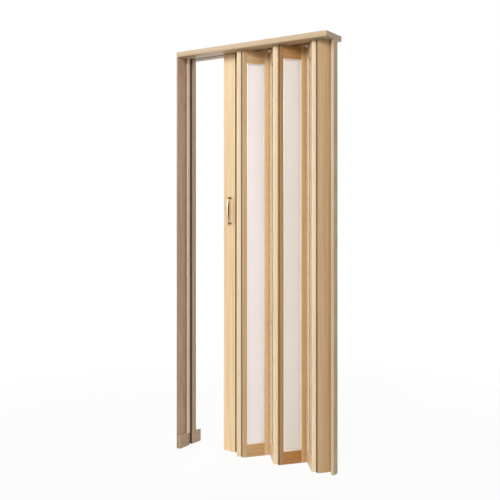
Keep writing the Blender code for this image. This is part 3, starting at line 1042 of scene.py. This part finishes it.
@dataclass(frozen=True)
class LeadPost:
    """Plain leading board with its shoe and pulls."""

    softener: Softener = Softener(radius=1.4 * MM, segments=3)
    seed: float = 2.6

    def build(self) -> None:
        """Dress the post and model its pulls."""
        # The post is paler with painted light, and its right end face is darker with painted shade
        # for the gap beside the first panel.
        cut = Cut(self.seed, depth=BOARD_SHADE_DEPTH["lead_post"])
        painted_shading = (PaintedEdgeShading(RIGHTWARD, -1.0),)
        Board("lead_post", "lead_board", self.softener, DOOR_WOOD, cut, painted_shading).build()
        NYLON.dress(bpy.data.objects["lead_shoe"])
        BowPull("front_pull", Side.FRONT).build()
        BowPull("rear_pull", Side.REAR).build()


@dataclass(frozen=True)
class LeafPlace:
    """Where one leaf of a strip hinge lies.

    The angle points from the pin square into the board that the leaf lies on, and
    the side is the way across from the pin to the leaf, or 0 for a middle pin.
    """

    node: str
    pin: Point
    angle: float
    side: int
    is_first: bool
    finish: MouldedFinish

    @property
    def stand(self) -> Matrix:
        """Place of the leaf's own frame, which its angle turns."""
        return Matrix.Translation((*self.pin[:2], 0.0)) @ Matrix.Rotation(self.angle, 4, "Z")

    @property
    def reach(self) -> tuple[float, float, float]:
        """Measure the leaf in its own frame.

        Returns:
            How far away its seat is, and the heights of its foot and top.
        """
        vertices = bpy.data.objects[self.node].data.vertices
        points = [self.stand.inverted() @ vert.co for vert in vertices]
        heights = [point.z for point in points]
        return max(point.x for point in points), min(heights), max(heights)


@dataclass(frozen=True)
class StripHinges:
    """Continuous strip hinges between the boards, with short rolled knuckles."""

    knuckle_radius: float = 2.25 * MM
    knuckle_pitch: float = 26 * MM
    knuckle_gap: float = 0.4 * MM
    knuckle_sides: int = 14
    arm_thick: float = 1.1 * MM
    web_play: float = 0.35 * MM
    leaf_thick: float = 0.8 * MM
    leaf_width: float = 5 * MM
    leaf_offset: float = 0.3 * MM
    leaf_overrun: float = 3.6 * MM
    edge_round: float = 0.2 * MM
    screw_radius: float = 1.35 * MM
    screw_rise: float = 0.35 * MM
    screw_pitch: float = 160 * MM
    screw_place: float = 3.3 * MM
    screw_sides: int = 10
    screw_rings: int = 6
    finial_rise: float = 3.4 * MM
    finial_rings: int = 8
    smooth_angle: float = 32.0

    def places(self) -> Iterable[LeafPlace]:
        """Follow the chain of boards from the wall to the lead post.

        Returns:
            The places of all leaves.
        """
        pins = {joint["name"]: joint["pos_m"] for joint in FRAME["record"]["behaviour"]["joints"]}
        last = len(HINGE_FINISHES)
        for number, (first, second) in enumerate(HINGE_FINISHES, start=1):
            pin = tuple(pins[f"fold_{number}"])
            is_ridge = number % 2 == 0
            fold = REST_FOLD if is_ridge else -REST_FOLD
            before = 0.0 if number == 1 else fold
            after = math.pi if number == last else math.pi - fold
            side = -1 if is_ridge else 1
            if number in (1, last):
                side = 0
            yield LeafPlace(f"hinge_{number}_pin_leaf", pin, before, side, True, first)
            yield LeafPlace(f"hinge_{number}_bored_leaf", pin, after, -side, False, second)

    def build(self) -> None:
        """Model and dress the hinge leaves."""
        for place in self.places():
            place.finish.dress(self.model(place))

    def model(self, place: LeafPlace) -> Object:
        """Model one leaf over its node.

        Args:
            place: Where the leaf lies.

        Returns:
            The new piece.
        """
        builder = bmesh.new()
        barrel = builder.faces.layers.float.new(BARREL)
        self.add_plate(builder, place)
        plate_faces = set(builder.faces)
        self.add_knuckles(builder, place)
        _, foot, top = place.reach
        finial = (self.knuckle_radius, self.knuckle_radius, self.finial_rise)
        end = (0.0, 0.0, foot if place.is_first else top)
        add_ball(builder, end, finial, self.knuckle_sides, self.finial_rings)
        for face in builder.faces:
            face[barrel] = 0.0 if face in plate_faces else 1.0
        bmesh.ops.transform(builder, matrix=place.stand, verts=builder.verts)
        piece = finish_mesh(f"{place.node}_strip", builder, self.smooth_angle)
        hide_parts(place.node)
        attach(piece, body_of(place.node))
        return piece

    def add_bar(self, builder: BMesh, low: Point, high: Point) -> None:
        """Add a bar with rounded edges between two corners.

        Args:
            builder: Mesh that takes the bar.
            low: Its lowest corner.
            high: Its highest corner.
        """
        made = bmesh.ops.create_cube(builder, size=1.0)["verts"]
        size = Vector(high) - Vector(low)
        middle = (Vector(high) + Vector(low)) / 2
        shape = Matrix.Translation(middle) @ Matrix.Diagonal((*size, 1.0))
        bmesh.ops.transform(builder, matrix=shape, verts=made)
        bmesh.ops.bevel(
            builder,
            geom=list({edge for vert in made for edge in vert.link_edges}),
            offset=self.edge_round,
            offset_type="OFFSET",
            segments=1,
            profile=0.5,
            affect="EDGES",
            material=-1,
        )

    def add_plate(self, builder: BMesh, place: LeafPlace) -> None:
        """Add the leaf's plate with its screws or, on a middle pin, with its web.

        Args:
            builder: Mesh that takes them.
            place: Where the leaf lies.
        """
        seat, foot, top = place.reach
        face = seat - self.leaf_thick
        rim = place.side * self.leaf_offset if place.side else -self.leaf_width / 2
        edge = rim + (place.side or 1) * self.leaf_width
        low = (face, min(rim, edge), foot - self.leaf_overrun)
        self.add_bar(builder, low, (seat, max(rim, edge), top + self.leaf_overrun))
        if place.side:
            self.add_screws(builder, place)
        else:
            start = self.knuckle_radius + self.web_play
            half = self.arm_thick / 2
            end = (seat - self.leaf_thick / 2, half, top)
            self.add_bar(builder, (start, -half, foot), end)

    def add_screws(self, builder: BMesh, place: LeafPlace) -> None:
        """Add a row of domed screw heads on the leaf.

        Args:
            builder: Mesh that takes them.
            place: Where the leaf lies.
        """
        seat, foot, top = place.reach
        head = (self.screw_rise, self.screw_radius, self.screw_radius)
        count = int((top - foot) / self.screw_pitch)
        for index in range(count):
            height = foot + (index + 1 / 2) * (top - foot) / count
            spot = (seat - self.leaf_thick, place.side * self.screw_place, height)
            add_ball(builder, spot, head, self.screw_sides, self.screw_rings)

    def add_knuckles(self, builder: BMesh, place: LeafPlace) -> None:
        """Add every second knuckle of the barrel, each with its arm to the leaf.

        Args:
            builder: Mesh that takes them.
            place: Where the leaf lies.
        """
        seat, foot, top = place.reach
        slots = 2 * round((top - foot) / self.knuckle_pitch / 2)
        pitch = (top - foot) / slots
        length = pitch - self.knuckle_gap
        before = set(builder.verts)
        bmesh.ops.create_cone(
            builder,
            cap_ends=True,
            segments=self.knuckle_sides,
            radius1=self.knuckle_radius,
            radius2=self.knuckle_radius,
            depth=length,
        )
        middle = place.side * self.arm_thick / 2
        low = (0.0, middle - self.arm_thick / 2, -length / 2)
        high = (seat - self.leaf_thick / 2, middle + self.arm_thick / 2, length / 2)
        self.add_bar(builder, low, high)
        first = [vert for vert in builder.verts if vert not in before]
        start = foot + pitch * (1 / 2 if place.is_first else 3 / 2)
        bmesh.ops.translate(builder, vec=(0.0, 0.0, start), verts=first)
        parts = {part for vert in first for part in (vert, *vert.link_edges, *vert.link_faces)}
        geometry = list(parts)
        for _ in range(slots // 2 - 1):
            geometry = bmesh.ops.duplicate(builder, geom=geometry)["geom"]
            bmesh.ops.translate(builder, vec=(0.0, 0.0, 2 * pitch), verts=verts_of(geometry))


@dataclass(frozen=True)
class Lamp:
    """Wide soft lamp, so far away that it lights the door evenly.

    The spread is the angle that it fills, in degrees, and the level is the share of
    full white that it gives a surface that faces it.
    """

    name: str
    source: Point
    spread: float
    level: float
    shows_through: bool = True

    def hang(self) -> None:
        """Hang the lamp."""
        data = bpy.data.lights.new(self.name, "SUN")
        data.angle = math.radians(self.spread)
        data.energy = self.level * math.pi
        lamp = bpy.data.objects.new(self.name, data)
        lamp.location = self.source
        lamp.visible_transmission = self.shows_through
        lamp.rotation_euler = (-Vector(self.source)).to_track_quat("-Z", "Y").to_euler()
        bpy.context.collection.objects.link(lamp)


@dataclass(frozen=True)
class Studio:
    """Plain white room with soft light from the left, seen from the photograph's place."""

    camera_place: Point = (2.0614, -3.2172, 1.2057)
    yaw: float = 33.52
    focal_pixels: float = 769.9
    frame_pixels: float = 500.0
    principal_x: float = 245.04
    horizon_y: float = 215.34
    sensor: float = 36.0
    floor_size: float = 60.0
    floor_colour: Colour = (0.72, 0.72, 0.72)
    floor_roughness: float = 0.9
    floor_gloss: float = 0.1
    floor_glow: float = 1.05
    floor_glow_share: float = 0.88
    floor_fade: Pair = (1.2, 5.0)
    white: Colour = (1.0, 1.0, 1.0)
    ambient: float = 0.16
    lamps: tuple[Lamp, ...] = (
        Lamp("key_lamp", (-3.0, -3.4, 1.70), spread=28.0, level=0.30),
        Lamp("front_lamp", (1.2, -4.4, 1.55), spread=22.0, level=0.53),
        Lamp("rear_lamp", (-1.4, 4.2, 1.60), spread=30.0, level=0.45, shows_through=False),
    )

    def build(self) -> None:
        """Make the camera, floor, world and lamps."""
        self.add_camera()
        self.add_floor()
        self.light_world()
        for lamp in self.lamps:
            lamp.hang()
        bpy.context.scene.view_settings.view_transform = "Standard"

    def add_camera(self) -> None:
        """Stand the camera where the photograph was taken."""
        data = bpy.data.cameras.new("camera")
        data.sensor_width = self.sensor
        data.lens = self.focal_pixels * self.sensor / self.frame_pixels
        data.shift_x = 1 / 2 - self.principal_x / self.frame_pixels
        data.shift_y = self.horizon_y / self.frame_pixels - 1 / 2
        camera = bpy.data.objects.new("camera", data)
        camera.location = self.camera_place
        camera.rotation_euler = (math.pi / 2, 0.0, math.radians(self.yaw))
        bpy.context.collection.objects.link(camera)
        bpy.context.scene.camera = camera

    def add_floor(self) -> None:
        """Lay a plain pale floor, which is seen as white and keeps the door's shadow."""
        builder = bmesh.new()
        bmesh.ops.create_grid(builder, x_segments=1, y_segments=1, size=self.floor_size / 2)
        floor = finish_mesh("floor", builder)
        graph = Graph.on(floor, "white")
        graph.finish(
            Base_Color=self.floor_colour,
            Roughness=self.floor_roughness,
            Specular_IOR_Level=self.floor_gloss,
        )
        body = Wire(graph, graph.tree.nodes["Principled BSDF"].outputs[0])
        sockets = {"Color": self.white, "Strength": self.floor_glow}
        glow = graph.node("ShaderNodeEmission", {}, sockets)
        across, forth, _ = graph.object_place().parts()
        far = across.length_with(forth).ramp(*self.floor_fade)
        share = graph.seen() * (far * (1.0 - self.floor_glow_share) + self.floor_glow_share)
        mixed = graph.node("ShaderNodeMixShader", {}, {0: share, 1: body, 2: glow})
        graph.link(mixed, graph.tree.nodes["Material Output"].inputs["Surface"])

    def light_world(self) -> None:
        """Fill the room with soft white light, seen as plain white."""
        world = bpy.data.worlds.new("room")
        bpy.context.scene.world = world
        graph = Graph(world)
        strength = graph.seen() * (1.0 - self.ambient) + self.ambient
        background = graph.tree.nodes["Background"]
        graph.link(self.white, background.inputs["Color"])
        graph.link(strength, background.inputs["Strength"])


def main() -> None:
    """Build the door and the studio."""
    logging.basicConfig(level=logging.INFO, format="%(message)s")
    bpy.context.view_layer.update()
    panels = [FoldingPanel(number) for number in range(1, PANEL_COUNT + 1)]
    for part in (DoorFrame(), *panels, LeadPost(), StripHinges(), Studio()):
        part.build()
        LOG.info("%s built", type(part).__name__)


if __name__ == "__main__":
    main()
